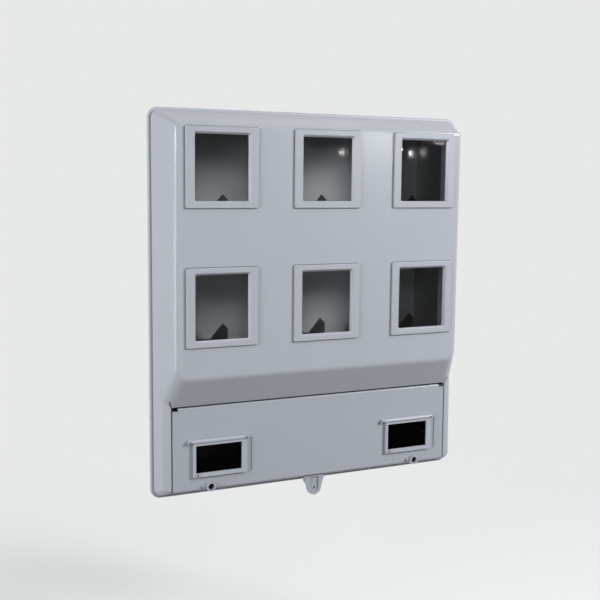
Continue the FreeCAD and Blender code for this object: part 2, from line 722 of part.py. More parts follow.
def main_cover():
    outside = cover_form(
        "cover_outside", rim_y, (ZERO, ZERO, ZERO),
        (d.edge_round, d.brow_round, d.band_round, d.rail_round, d.foot_round))
    hollow = cover_form(
        "cover_hollow", rim_y + d.cut_over, (side_wall, d.cover_wall, slope_wall),
        (d.inner_edge_round, d.inner_brow_round, d.inner_band_round, d.inner_rail_round, d.inner_foot_round))
    shell = cut("cover_shell", outside, hollow, *cover_openings())
    solid = fuse("cover_solid", shell, *cover_fittings(outside))
    subpart("main_cover", cut("cover", solid, *cover_bores()))


main_cover()


# Base tray: straight walls, a wide flange for the joint, posts and pads on its floor

bracket_back_y = -d.bracket_front + d.bracket_thick
rail_back_y = -d.rail_front + d.rail_depth
partition_z = slope_foot_z + d.partition_rise
breaker_z = slope_foot_z - d.breaker_below
seal_z = lower_edge_z + d.seal_rise
seal_tail_y = step_y - d.collar_reach + d.collar_length + d.seal_tail
lug_z = lower_edge_z - d.lug_hang
lug_y = (step_y + d.lug_inset, step_y + d.lug_inset + d.lug_thick)
keeper_y = (lug_y[1] + d.keeper_gap, lug_y[1] + d.keeper_gap + d.keeper_thick)
small_bore = d.small_screw + d.screw_fit * 2
bracket_screw_spots = [
    (f"{name}_{side_name}", x + side * d.bracket_screw_pitch / 2, z - d.bracket_screw_drop)
    for name, x, z in window_spots
    for side_name, side in SIDES
]
breaker_spots = [(name, side * (lid_half - d.breaker_inset), breaker_z) for name, side in SIDES]
rail_screw_spots = [
    (f"{name}_{side_name}", x + side * d.rail_screw_pitch / 2, z)
    for name, x, z in breaker_spots
    for side_name, side in SIDES
]
wall_hole_heights = (base_half_height - d.wall_hole_head, partition_z - d.wall_hole_foot)
wall_hole_spots = [
    (f"{side_name}_{index}", side * (base_half_width - d.wall_hole_side), z)
    for side_name, side in SIDES
    for index, z in enumerate(wall_hole_heights)
]
seal_spots = [(name, side * (lid_half - d.seal_inset), seal_z) for name, side in SIDES]
entry_spots = [(name, d.entry_pitch * column) for name, column in COLUMNS]


def lug_outline(name, y, inset, root_z):
    """Tapered lug with a round end about its hole, hanging from root_z, its front and back at y."""
    tip = d.lug_tip / 2 - inset
    half = d.lug_root / 2 - inset
    points = ((-half, root_z), (half, root_z), (tip, lug_z), (-tip, lug_z))
    taper = profile_block(name + "_taper", "XZ_Plane", points, -y[1], y[1] - y[0])
    return fuse(name, taper, rod(name + "_end", "y", tip * 2, y, z=lug_z))


def tray_shell():
    tray = rounded_block(
        "tray_block", base_half_width * 2, base_half_height * 2, d.base_corner, (flange_y, ZERO))
    flange = rounded_block(
        "tray_flange", (rim_half_width + d.flange_reach) * 2, (rim_half_height + d.flange_reach) * 2,
        d.rim_corner + d.flange_reach, (flange_y, flange_back_y))
    flange_rounded = fillet(
        "tray_flange_rounded", flange,
        lambda edge, point: on_plane(edge, "Y", flange_y) and d.flange_round.number)
    hollow = rounded_block(
        "tray_hollow", (base_half_width - d.base_wall) * 2, (base_half_height - d.base_wall) * 2,
        d.base_corner - d.base_wall, (flange_y - d.cut_over, floor_y))
    return cut("tray_shell", fuse("tray_solid", tray, flange_rounded), hollow)


def tray_posts():
    """Posts, pads and their holes, as two lists: what is added and what is drilled."""
    added = []
    bores = []
    for name, x, z in wall_hole_spots:
        added.append(rod(
            "wall_pad_" + name, "y", d.wall_boss, (floor_y - d.wall_boss_rise, in_floor_y), x=x, z=z))
        bores.append(rod(
            "wall_bore_" + name, "y", d.wall_hole, (floor_y - d.cut_over, d.cut_over), x=x, z=z))
    post_tops = [(spot, bracket_back_y) for spot in bracket_screw_spots]
    post_tops += [(spot, rail_back_y) for spot in rail_screw_spots]
    for (name, x, z), top_y in post_tops:
        added.append(rod("post_" + name, "y", d.post, (top_y, in_floor_y), x=x, z=z))
        bores.append(rod(
            "post_bore_" + name, "y", small_bore, (top_y - d.cut_past, top_y + d.post_bore), x=x, z=z))
    wall_x = base_half_width - d.base_wall / 2
    for name, side, x, z in cover_screw_spots:
        added.append(rod("cover_post_" + name, "y", d.post, (rim_y, in_floor_y), x=x, z=z))
        added.append(box(
            "cover_post_web_" + name, on_side(side, cover_screw_x, wall_x), (flange_y, in_floor_y),
            span(z, d.base_wall)))
        bores.append(rod(
            "cover_post_bore_" + name, "y", d.cover_screw + d.screw_fit * 2,
            (rim_y - d.cut_past, rim_y + d.cover_screw_bore), x=x, z=z))
    for name, x, z in seal_spots:
        boss_y = seal_tail_y + d.seal_tail_gap
        added.append(rod("seal_boss_" + name, "y", d.seal_boss, (boss_y, flange_back_y), x=x, z=z))
        bores.append(rod("seal_bore_" + name, "y", d.seal_shank, (boss_y - d.cut_past, flange_y), x=x, z=z))
    return added, bores


def tray_partition():
    """Wall between meters and breakers, and the wire notches in its front edge."""
    front_y = step_y + d.partition_set
    half = base_half_width - d.base_wall / 2
    wall = box("partition", (-half, half), (front_y, in_floor_y), span(partition_z, d.partition_thick))
    notches = []
    foot_y = front_y + d.notch_depth
    depth = span(partition_z, d.cut_over * 2)
    for index in range(5):
        x = d.notch_pitch * (index - 2)
        notches.append(box(
            f"notch_{index}", span(x, d.notch_width), (front_y - d.cut_past, foot_y), depth))
        notches.append(rod(f"notch_foot_{index}", "z", d.notch_width, depth, x=x, y=foot_y))
    return wall, notches


def base_tray():
    added, bores = tray_posts()
    partition, notches = tray_partition()
    added.append(partition)
    bores += notches
    for name, x in entry_spots:
        depth = (-base_half_height - d.cut_over, -base_half_height + d.base_wall + d.cut_past)
        bores.append(rod("entry_" + name, "z", d.entry_hole, depth, x=x, y=-d.entry_back))
    for side_name, side in SIDES:
        bores.append(box(
            "hook_slot_" + side_name, span(side * hook_x, d.hook_width + d.hook_room * 2),
            (flange_y - d.cut_past, flange_back_y + d.cut_past),
            (hook_low_z - d.hook_room, hook_high_z + d.hook_room)))
    keeper_root_z = flange_low_z + d.flange_reach / 2
    added.append(lug_outline("keeper", keeper_y, d.keeper_inset, keeper_root_z))
    added.append(box(
        "keeper_arm", span(ZERO, d.lug_tip - d.keeper_inset * 2), (keeper_y[0], flange_back_y),
        (flange_low_z - d.keeper_thick, flange_low_z + d.keeper_thick / 3)))
    bores.append(rod(
        "keeper_bore", "y", d.lug_hole, (keeper_y[0] - d.cut_past, keeper_y[1] + d.cut_past), z=lug_z))
    subpart("base_tray", cut("tray", fuse("tray_full", tray_shell(), *added), *bores))


base_tray()


# Rubber joint on the base flange, under the cover's rim

def cover_gasket():
    ring = rounded_block(
        "gasket_ring", (rim_half_width - d.gasket_inset) * 2, (rim_half_height - d.gasket_inset) * 2,
        d.rim_corner - d.gasket_inset, (rim_y, flange_y))
    inner = d.gasket_inset + d.gasket_width
    hole = rounded_block(
        "gasket_hole", (rim_half_width - inner) * 2, (rim_half_height - inner) * 2,
        d.rim_corner - inner, (rim_y - d.cut_over, flange_y + d.cut_over))
    subpart("cover_gasket", cut("gasket", ring, hole))


cover_gasket()


# Screws: a plain round head with its shank in the hole below

def screw(name, shank, head, rise, length, seat_y, x, z):
    return fuse(
        name, rod(name + "_head", "y", head, (seat_y - rise, seat_y), x=x, z=z),
        rod(name + "_shank", "y", shank, (seat_y, seat_y + length), x=x, z=z))


def small_screw(name, length, seat_y, x, z):
    return screw(name, d.small_screw, d.small_screw_head, d.small_screw_rise, length, seat_y, x, z)


def small_screws(name, spots, seat_y):
    subpart(name, group(name + "_set", *[
        small_screw(f"{name}_{spot}", d.small_screw_length, seat_y, x, z) for spot, x, z in spots
    ]))


small_screws("bracket_screws", bracket_screw_spots, -d.bracket_front)
small_screws("rail_screws", rail_screw_spots, rail_back_y - d.rail_sheet)
subpart("cover_screws", group("cover_screw_set", *[
    screw(
        "cover_screw_" + name, d.cover_screw, d.cover_screw * 2, d.cover_lug_thick,
        d.cover_lug_thick + d.post_bore, rim_y - d.cover_lug_thick, x, z)
    for name, side, x, z in cover_screw_spots
]))


# Meter brackets: a plate with two pointed tips and a hollow between them, on two posts

def meter_bracket(name, x, z):
    tip_z = z - d.bracket_drop
    half = d.bracket_width / 2
    right = (
        (half, tip_z - d.bracket_height), (half, tip_z - d.bracket_shoulder), (d.bracket_tip, tip_z),
        (d.bracket_hollow_foot / 2, tip_z - d.bracket_hollow),
    )
    points = [(x + out, level) for out, level in right]
    points += [(x - out, level) for out, level in reversed(right)]
    plate = profile_block("bracket_plate_" + name, "XZ_Plane", points, -bracket_back_y, d.bracket_thick)
    depth = (-d.bracket_front - d.cut_past, bracket_back_y + d.cut_past)
    tools = []
    screw_z = z - d.bracket_screw_drop
    slot_run = d.bracket_slot_height - d.bracket_slot_width
    tools.append(box(
        "bracket_slot_" + name, span(x, d.bracket_slot_width), depth, span(screw_z, slot_run)))
    for side_name, side in SIDES:
        tools.append(rod(
            f"bracket_slot_end_{name}_{side_name}", "y", d.bracket_slot_width, depth,
            x=x, z=screw_z + side * slot_run / 2))
        tools.append(rod(
            f"bracket_hole_{name}_{side_name}", "y", small_bore, depth,
            x=x + side * d.bracket_screw_pitch / 2, z=screw_z))
    subpart("meter_bracket_" + name, cut("bracket_" + name, plate, *tools))


for spot in window_spots:
    meter_bracket(*spot)


# Top-hat rails behind the breaker windows

def top_hat_rail(name, x, z):
    front_y = -d.rail_front
    lip_y = front_y + d.rail_sheet
    web_y = rail_back_y - d.rail_sheet
    lip = d.rail_width / 2
    web = d.rail_web / 2
    inner = web - d.rail_sheet
    upper = (
        (web_y, inner), (front_y, inner), (front_y, lip), (lip_y, lip), (lip_y, web), (rail_back_y, web))
    lower = [(y, -rise) for y, rise in reversed(upper)]
    points = [(y, z + rise) for y, rise in (*upper, *lower)]
    strip = profile_block("rail_strip_" + name, "YZ_Plane", points, x - d.rail_length / 2, d.rail_length)
    holes = [
        rod(
            f"rail_hole_{name}_{side_name}", "y", small_bore,
            (web_y - d.cut_past, rail_back_y + d.cut_past), x=x + side * d.rail_screw_pitch / 2, z=z)
        for side_name, side in SIDES
    ]
    subpart("breaker_rail_" + name, cut("rail_" + name, strip, *holes))


for spot in breaker_spots:
    top_hat_rail(*spot)


# Neutral bar on two insulating supports, with its clamp screws

def neutral_bar():
    back_y = -d.bar_back
    front_y = back_y - d.bar_thick
    z = breaker_z + d.bar_rise
    fixings = [(name, side * d.bar_screw_pitch / 2) for name, side in SIDES]
    clamps = [(str(index), d.bar_hole_pitch * (index - 3)) for index in range(7)]
    bar = box("bar_block", span(ZERO, d.bar_length), (front_y, back_y), span(z, d.bar_height))
    bores = [
        rod(
            "bar_wire_" + name, "z", d.bar_hole, span(z, d.bar_height + d.cut_past * 2),
            x=x, y=back_y - d.bar_hole_set)
        for name, x in clamps
    ]
    bores += [
        rod("bar_bore_" + name, "y", small_bore, (front_y - d.cut_past, back_y + d.cut_past), x=x, z=z)
        for name, x in fixings
    ]
    subpart("neutral_bar", cut("bar", bar, *bores))
    supports = [
        cut(
            "bar_support_" + name,
            rod("bar_support_rod_" + name, "y", d.bar_support, (back_y, floor_y), x=x, z=z),
            rod(
                "bar_support_bore_" + name, "y", small_bore,
                (back_y - d.cut_past, back_y + d.bar_support_bore), x=x, z=z))
        for name, x in fixings
    ]
    subpart("neutral_bar_supports", group("bar_supports", *supports))
    heads = [
        rod(
            "bar_head_" + name, "y", d.bar_clamp_head, (front_y - d.small_screw_rise, front_y), x=x, z=z)
        for name, x in clamps
    ]
    screws = [small_screw("bar_fixing_" + name, d.bar_screw_length, front_y, x, z) for name, x in fixings]
    subpart("neutral_bar_screws", group("bar_screws", *heads, *screws))


neutral_bar()


# Cable grommets in the floor of the case

def cable_grommet(name, x):
    outer_z = -base_half_height
    inner_z = outer_z + d.base_wall
    lip = d.entry_hole + d.grommet_lip * 2
    neck = d.entry_hole - d.grommet_fit * 2
    low_z = outer_z - d.grommet_lip_thick
    high_z = inner_z + d.grommet_lip_thick
    y = -d.entry_back
    ring = fuse(
        "grommet_solid_" + name,
        rod("grommet_inner_" + name, "z", lip, (inner_z, high_z), x=x, y=y),
        rod("grommet_neck_" + name, "z", neck, (outer_z, inner_z), x=x, y=y),
        rod("grommet_outer_" + name, "z", lip, (low_z, outer_z), x=x, y=y))
    depth = (low_z - d.cut_past, high_z + d.cut_past)
    bore = rod("grommet_bore_" + name, "z", d.grommet_bore, depth, x=x, y=y)
    subpart("cable_grommet_" + name, cut("grommet_" + name, ring, bore))


for spot in entry_spots:
    cable_grommet(*spot)


# Lower cover: a panel whose foot turns back along the flare, hinged at its top edge

flap_back_y = step_y - d.flap_rest
flap_front_y = flap_back_y - d.flap_thick
flap_axis_y = flap_back_y - d.flap_barrel / 2
flap_axis_z = breaker_z + d.breaker_height / 2 + d.flap_axis
flap_top_z = breaker_z + d.breaker_height / 2 + d.flap_top
flap_bottom_z = breaker_z - d.breaker_height / 2 - d.flap_bottom
flap_bore = d.flap_pin + d.pin_fit * 2
barrel_left = -(d.breaker_width / 2 + d.flap_left)
barrel_right = d.breaker_width / 2 + d.flap_barrel_reach
collar_front_y = step_y - d.collar_reach
collar_back_y = collar_front_y + d.collar_length
collar_bore = d.collar - d.collar_wall * 2
seal_seat_y = collar_front_y + d.seal_head_depth


def lid_panel():
    foot_y = rim_y - d.lid_foot_gap
    back_y = step_y + d.lid_wall
    wall = d.lid_wall * flare_stretch

    def low_z(y):
        return -(face_height / 2 + flare_rate * (y - face_y))

    points = (
        (step_y, lid_top_z), (step_y, low_z(step_y)), (foot_y, low_z(foot_y)),
        (foot_y, low_z(foot_y) + wall), (back_y, low_z(back_y) + wall), (back_y, lid_top_z),
    )
    panel = profile_block("lid_panel", "YZ_Plane", points, -lid_half, lid_half * 2)

    def front_round(edge, point):
        along = on_plane(edge, "Y", step_y) and edge.BoundBox.XLength > lid_half.number
        return along and d.lid_round.number

    return fillet("lid_rounded", panel, front_round)


def lid_hinge():
    added = []
    bores = []
    top_z = lid_top_z - d.lid_round
    lug_wall = d.hinge_pin / 2 + d.hinge_lug_wall
    inside_panel = step_y + d.lid_wall / 2
    for side_name, side in SIDES:
        added.append(box(
            "lid_return_" + side_name, on_side(side, lid_half - d.lid_wall, lid_half),
            (inside_panel, step_y + d.lid_return), (lower_edge_z + d.lid_wall / 3, top_z)))
        lug_inner = lid_half - d.hinge_lug
        added.append(box(
            "lid_hinge_lug_" + side_name, on_side(side, lug_inner, lid_half),
            (inside_panel, hinge_y + lug_wall), (hinge_z - lug_wall, top_z)))
        bores.append(rod(
            "lid_hinge_bore_" + side_name, "x", d.hinge_pin + d.pin_fit * 2,
            on_side(side, lug_inner - d.cut_past, lid_half + d.cut_past), y=hinge_y, z=hinge_z))
        bores.append(box(
            "lid_notch_" + side_name, on_side(side, lid_half - d.hinge_notch_width, lid_half + d.cut_past),
            (step_y - d.cut_past, hinge_y + lug_wall + d.cut_past),
            (lid_top_z - d.hinge_notch_depth, lid_top_z + d.cut_past)))
    return added, bores


def breaker_window(name, x, z):
    """Hole, finger recess and the two ears for one flap."""
    added = []
    bores = [box(
        "breaker_hole_" + name, span(x, d.breaker_width), (step_y - d.cut_over, rim_y),
        span(z, d.breaker_height))]
    recess_x = x + d.breaker_width / 2 + d.flap_right
    bores.append(box(
        "finger_recess_" + name, (recess_x - d.finger_lap, recess_x + d.finger_reach),
        (step_y - d.cut_over, step_y + d.finger_depth), (flap_bottom_z, flap_top_z)))
    left_end = x + barrel_left - d.flap_end_gap
    right_end = x + barrel_right + d.flap_end_gap
    ears = (
        ("left", left_end - d.flap_ear, left_end, left_end - d.flap_ear + d.flap_ear_eye_set),
        ("right", right_end, right_end + d.flap_ear, right_end + d.flap_ear - d.flap_ear_eye_set),
    )
    for side_name, low, high, eye_x in ears:
        ear = f"ear_{name}_{side_name}"
        added.append(rod(ear, "x", d.flap_barrel, (low, high), y=flap_axis_y, z=flap_axis_z))
        added.append(box(
            ear + "_foot", (low, high), (flap_axis_y, step_y + d.lid_wall / 2),
            span(flap_axis_z, d.flap_barrel)))
        bores.append(rod(
            ear + "_eye", "y", d.flap_ear_eye, (flap_axis_y - d.flap_barrel, step_y), x=eye_x, z=flap_axis_z))
    pin_ends = (left_end - d.flap_pin_reach - d.pin_room, right_end + d.flap_pin_reach + d.pin_room)
    bores.append(rod("ear_bore_" + name, "x", flap_bore, pin_ends, y=flap_axis_y, z=flap_axis_z))
    return added, bores


def seal_collar(name, x, z):
    wire_x = x - d.seal_wire_side
    wire_z = z + d.seal_wire_rise
    boss_y = (step_y - d.seal_wire_reach, step_y + d.lid_wall / 2)
    added = [
        rod("collar_" + name, "y", d.collar, (collar_front_y, collar_back_y), x=x, z=z),
        rod("seal_wire_boss_" + name, "y", d.seal_wire_boss, boss_y, x=wire_x, z=wire_z),
    ]
    bores = [
        rod("collar_bore_" + name, "y", collar_bore, (collar_front_y - d.cut_past, seal_seat_y), x=x, z=z),
        rod(
            "collar_shank_bore_" + name, "y", d.seal_shank + d.pin_fit * 2,
            (collar_front_y, collar_back_y + d.cut_past), x=x, z=z),
        rod(
            "seal_wire_bore_" + name, "y", d.seal_wire_hole,
            (boss_y[0] - d.cut_past, step_y + d.lid_wall + d.cut_past), x=wire_x, z=wire_z),
    ]
    return added, bores


def seal_lug():
    added = [lug_outline("seal_lug", lug_y, ZERO, lower_edge_z + d.lid_wall)]
    channel_y = (lug_y[0] - d.cut_past, lug_y[0] + d.lug_channel)
    channel = d.lug_tip - d.lug_rim * 2
    bores = [
        box("lug_channel", span(ZERO, channel), channel_y, (lug_z, lower_edge_z - d.lug_channel_head)),
        rod("lug_channel_end", "y", channel, channel_y, z=lug_z),
        rod("lug_bore", "y", d.lug_hole, (lug_y[0] - d.cut_past, lug_y[1] + d.cut_past), z=lug_z),
    ]
    return added, bores


def terminal_cover():
    mark_z = (lower_edge_z + lid_top_z) / 2
    added = [lid_panel()]
    bores = [box(
        "gate_mark", span(ZERO, d.gate_mark_width), (step_y - d.cut_past, step_y + d.gate_mark_depth),
        span(mark_z, d.gate_mark_height))]
    features = [lid_hinge(), seal_lug()]
    features += [breaker_window(*spot) for spot in breaker_spots]
    features += [seal_collar(*spot) for spot in seal_spots]
    for feature_added, feature_bores in features:
        added += feature_added
        bores += feature_bores
    subpart("terminal_cover", cut("lid", fuse("lid_solid", *added), *bores))
    pins = [
        rod(
            "lid_pin_" + side_name, "x", d.hinge_pin, on_side(side, lid_half - d.hinge_lug, lid_pin_end),
            y=hinge_y, z=hinge_z)
        for side_name, side in SIDES
    ]
    subpart("terminal_cover_pins", group("lid_pins", *pins))


terminal_cover()


# Breaker flaps: a framed pane that swings up on a pin through its barrel

def breaker_flap(name, x, z):
    left = x - d.breaker_width / 2 - d.flap_left
    right = x + d.breaker_width / 2 + d.flap_right
    depth = (flap_front_y, flap_back_y)
    through = (flap_front_y - d.cut_over, flap_back_y + d.cut_over)
    plate = rounded_block(
        "flap_plate_" + name, right - left, flap_top_z - flap_bottom_z, d.flap_corner, depth,
        (left + right) / 2, (flap_top_z + flap_bottom_z) / 2)
    barrel_ends = (x + barrel_left, x + barrel_right)
    barrel = rod(
        "flap_barrel_" + name, "x", d.flap_barrel, barrel_ends, y=flap_axis_y, z=flap_axis_z)
    neck = box("flap_neck_" + name, barrel_ends, depth, (flap_top_z - d.flap_top / 2, flap_axis_z))
    ring_x = x - d.breaker_width / 2 + d.eyelet_ring / 2
    ring_z = z - d.breaker_height / 2 - d.flap_bottom / 2
    ring = rod(
        "flap_ring_" + name, "y", d.eyelet_ring, (flap_front_y - d.eyelet_rise, flap_back_y),
        x=ring_x, z=ring_z)
    window = box("flap_window_" + name, span(x, d.breaker_width), through, span(z, d.breaker_height))
    pane_x = d.breaker_width + d.flap_pane_lap * 2
    pane_z = d.breaker_height + d.flap_pane_lap * 2
    pane_y = flap_back_y - d.flap_pane_thick
    rebate = box(
        "flap_rebate_" + name, span(x, pane_x + d.pane_fit * 2), (pane_y, through[1]),
        span(z, pane_z + d.pane_fit * 2))
    pin_bore = rod(
        "flap_bore_" + name, "x", flap_bore, (barrel_ends[0] - d.cut_past, barrel_ends[1] + d.cut_past),
        y=flap_axis_y, z=flap_axis_z)
    eye = rod("flap_eye_" + name, "y", d.eyelet, through, x=ring_x, z=ring_z)
    solid = fuse("flap_solid_" + name, plate, barrel, neck, ring)
    subpart("breaker_flap_" + name, cut("flap_" + name, solid, window, rebate, pin_bore, eye))
    subpart("breaker_pane_" + name, box(
        "flap_pane_" + name, span(x, pane_x), (pane_y, flap_back_y), span(z, pane_z)))
    pin_reach = d.flap_end_gap + d.flap_pin_reach
    subpart("flap_pin_" + name, rod(
        "flap_pin_rod_" + name, "x", d.flap_pin, (barrel_ends[0] - pin_reach, barrel_ends[1] + pin_reach),
        y=flap_axis_y, z=flap_axis_z))


for spot in breaker_spots:
    breaker_flap(*spot)


# Sealing screws: captive in their collars, drawn back out of the base

for name, x, z in seal_spots:
    subpart("seal_screw_" + name, screw(
        "seal_screw_body_" + name, d.seal_shank, collar_bore - d.seal_head_room * 2, d.seal_head,
        seal_tail_y - seal_seat_y, seal_seat_y, x, z))


doc.recompute()
for thing in doc.Objects:
    if {"Invalid", "Error"} & set(thing.State):
        raise RuntimeError(f"{thing.Name} failed: {thing.State}")
for thing in subparts:
    if thing.Shape.isNull() or not thing.Shape.isValid():
        raise RuntimeError(f"{thing.Label} has no valid shape")

os.makedirs("parts", exist_ok=True)
for thing in subparts:
    thing.Shape.exportStep(os.path.join("parts", thing.Label + ".step"))
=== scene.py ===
import math

import bmesh
import bpy
from mathutils import Matrix, Vector


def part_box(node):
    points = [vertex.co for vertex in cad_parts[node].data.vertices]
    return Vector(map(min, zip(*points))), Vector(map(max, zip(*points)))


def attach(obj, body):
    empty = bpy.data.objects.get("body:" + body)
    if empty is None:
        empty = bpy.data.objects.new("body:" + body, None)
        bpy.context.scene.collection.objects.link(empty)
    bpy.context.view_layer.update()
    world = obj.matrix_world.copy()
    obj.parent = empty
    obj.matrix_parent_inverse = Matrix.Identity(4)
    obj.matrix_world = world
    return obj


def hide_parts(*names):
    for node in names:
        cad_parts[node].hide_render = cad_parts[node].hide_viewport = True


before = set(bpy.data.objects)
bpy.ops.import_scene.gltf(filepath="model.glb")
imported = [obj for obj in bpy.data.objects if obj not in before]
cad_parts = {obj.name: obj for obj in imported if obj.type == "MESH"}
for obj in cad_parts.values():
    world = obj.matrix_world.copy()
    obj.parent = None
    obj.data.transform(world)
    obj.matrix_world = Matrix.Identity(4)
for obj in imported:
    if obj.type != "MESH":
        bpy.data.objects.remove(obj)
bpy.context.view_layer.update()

# Base tray: the back half of the case, one deep injection moulding in the same grey plastic as the cover,
# a little duller because nobody polishes the inside of that mould. Four screws hold it to the wall.
# The inside of the tray is painted with shade: dark grey on the faces towards the front, near black on the
# walls round them.


def add_node(tree, kind, inputs=None, **settings):
    """Put a shader node into a tree; an input takes a plain value or another node's output."""
    made = tree.nodes.new("ShaderNode" + kind)
    for name, value in settings.items():
        setattr(made, name, value)
    for name, value in (inputs or {}).items():
        if isinstance(value, bpy.types.NodeSocket):
            tree.links.new(value, made.inputs[name])
        else:
            made.inputs[name].default_value = value
    return made


def maths(tree, operation, *values):
    return add_node(tree, "Math", dict(enumerate(values)), operation=operation).outputs[0]


def mix_colours(tree, factor, first, second):
    return add_node(tree, "Mix", {0: factor, 6: first, 7: second}, data_type="RGBA").outputs[2]


def noise(tree, place, scale, detail):
    return add_node(tree, "TexNoise", {"Vector": place, "Scale": scale, "Detail": detail}).outputs["Fac"]


def between(tree, value, low, high, least=0, most=1):
    """Goes from least to most while a value goes from low to high."""
    limits = {"Value": value, "From Min": low, "From Max": high, "To Min": least, "To Max": most}
    return add_node(tree, "MapRange", limits).outputs["Result"]


def own_place(tree):
    return add_node(tree, "TexCoord").outputs["Object"]


def facing(tree, axis):
    """How far a surface faces along one of its object's own axes, from -1 to 1."""
    normal = add_node(tree, "TexCoord").outputs["Normal"]
    return add_node(tree, "SeparateXYZ", {0: normal}).outputs[axis]


def new_group(name, inputs, outputs):
    """Empty shader group with named sockets; returns it with the nodes at its two ends."""
    group = bpy.data.node_groups.new(name, "ShaderNodeTree")
    for socket, kind, value in inputs:
        made = group.interface.new_socket(name=socket, in_out="INPUT", socket_type="NodeSocket" + kind)
        made.default_value = value
    for socket, kind in outputs:
        group.interface.new_socket(name=socket, in_out="OUTPUT", socket_type="NodeSocket" + kind)
    return group, group.nodes.new("NodeGroupInput"), group.nodes.new("NodeGroupOutput")


SURFACE_RESULTS = (("Colour", "Color"), ("Roughness", "Float"), ("Height", "Float"))
CLOUD_SCALE, CLOUD_DETAIL, CLOUD_ROUGHENS = 7, 5, 0.05
RUB_STRETCH, RUB_DETAIL, RUB_ROUGHENS = (160, 160, 9), 3, 0.015
RUB_FROM, RUB_TO = 0.62, 0.75
LEDGE_FROM, LEDGE_TO = 0.35, 0.95
DUST_COLOUR = (0.46, 0.44, 0.40, 1)
DRIFT_SCALE, DRIFT_DETAIL, DUST_ROUGHENS = 60, 6, 0.5
GRAIN_DETAIL = 2


def moulded_surface():
    """Moulded plastic: faint clouds of colour, fine spark-eroded grain, dull rubs and dust on ledges."""
    group, given, result = new_group(
        "moulded_surface",
        (("Colour", "Color", (0.5, 0.5, 0.5, 1)), ("Mottle", "Float", 0.02), ("Grain", "Float", 1100),
         ("Roughness", "Float", 0.4), ("Dust", "Float", 0.1)),
        SURFACE_RESULTS)
    given = given.outputs
    place = own_place(group)
    sway = maths(group, "SUBTRACT", noise(group, place, CLOUD_SCALE, CLOUD_DETAIL), 0.5)
    value = maths(group, "MULTIPLY_ADD", sway, given["Mottle"], 1)
    tinted = add_node(group, "HueSaturation", {"Color": given["Colour"], "Value": value}).outputs["Color"]
    stretched = add_node(group, "Mapping", {"Vector": place, "Scale": RUB_STRETCH}).outputs["Vector"]
    rubs = between(group, noise(group, stretched, 1, RUB_DETAIL), RUB_FROM, RUB_TO)
    ledge = between(group, facing(group, "Z"), LEDGE_FROM, LEDGE_TO)
    drift = noise(group, place, DRIFT_SCALE, DRIFT_DETAIL)
    dust = maths(group, "MULTIPLY", maths(group, "MULTIPLY", ledge, drift), given["Dust"])
    rough = maths(group, "MULTIPLY_ADD", sway, CLOUD_ROUGHENS, given["Roughness"])
    rough = maths(group, "ADD", rough, maths(group, "MULTIPLY", rubs, RUB_ROUGHENS))
    rough = maths(group, "ADD", rough, maths(group, "MULTIPLY", dust, DUST_ROUGHENS))
    grain = noise(group, place, given["Grain"], GRAIN_DETAIL)
    group.links.new(mix_colours(group, dust, tinted, DUST_COLOUR), result.inputs["Colour"])
    group.links.new(rough, result.inputs["Roughness"])
    group.links.new(grain, result.inputs["Height"])
    return group


MOULDED = moulded_surface()


def new_material(name):
    """Material with its tree and its Principled shader."""
    made = bpy.data.materials.new(name)
    made.use_nodes = True
    return made, made.node_tree, made.node_tree.nodes["Principled BSDF"]


def lay_surface(tree, shader, group, values, relief):
    """Place a surface group in a material and join it to the shader; relief is its depth in metres."""
    surface = add_node(tree, "Group", values, node_tree=group).outputs
    tree.links.new(surface["Colour"], shader.inputs["Base Color"])
    tree.links.new(surface["Roughness"], shader.inputs["Roughness"])
    bump = add_node(tree, "Bump", {"Height": surface["Height"], "Distance": relief, "Strength": 1})
    tree.links.new(bump.outputs["Normal"], shader.inputs["Normal"])


def plastic(name, colour, mottle, grain, roughness, dust, relief, specular=0.5):
    """Moulded plastic or rubber."""
    made, tree, shader = new_material(name)
    values = {"Colour": colour, "Mottle": mottle, "Grain": grain, "Roughness": roughness, "Dust": dust}
    lay_surface(tree, shader, MOULDED, values, relief)
    shader.inputs["Specular IOR Level"].default_value = specular
    return made


def dress(material, *names):
    """Give CAD nodes their finish."""
    for name in names:
        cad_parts[name].data.materials[0] = material


RIM_COLOUR = (0.435, 0.465, 0.520, 1)
# Painted shade for the inside of the tray: dark grey for faces towards the front, near black for the walls
# round them.
INSIDE_PAINTED_SHADE = (0.250, 0.260, 0.275, 1)
SIDE_PAINTED_SHADE = (0.070, 0.073, 0.078, 1)
FORWARD = -0.8
TRAY_HALF_WIDTH, TRAY_HALF_HEIGHT = 0.2515, 0.2835
TRAY_CORNER, TRAY_BACK = 0.0185, -0.002


def paint_inside_shade(material, within, inside, outside):
    """Paint shade on the inside of a moulding: inside is the painted shade colour, outside the moulding's
    own; within gives 1 on the inside.
    """
    tree = material.node_tree
    surface = next(node for node in tree.nodes if node.type == "GROUP")
    tree.links.new(mix_colours(tree, within(tree), outside, inside), surface.inputs["Colour"])


def within_rim(tree):
    """1 on the inside of the tray: in front of the middle of its back wall and within that of its sides."""
    place = add_node(tree, "SeparateXYZ", {0: own_place(tree)}).outputs
    square = []
    for axis, half in (("X", TRAY_HALF_WIDTH), ("Z", TRAY_HALF_HEIGHT)):
        away = maths(tree, "SUBTRACT", maths(tree, "ABSOLUTE", place[axis]), half - TRAY_CORNER)
        away = maths(tree, "MAXIMUM", away, 0)
        square.append(maths(tree, "MULTIPLY", away, away))
    inner = maths(tree, "LESS_THAN", maths(tree, "ADD", *square), TRAY_CORNER ** 2)
    return maths(tree, "MULTIPLY", inner, maths(tree, "LESS_THAN", place["Y"], TRAY_BACK))


tray_plastic = plastic(
    "tray_plastic", RIM_COLOUR, mottle=0.05, grain=800, roughness=0.45, dust=0.25, relief=0.00004)
tray_tree = tray_plastic.node_tree
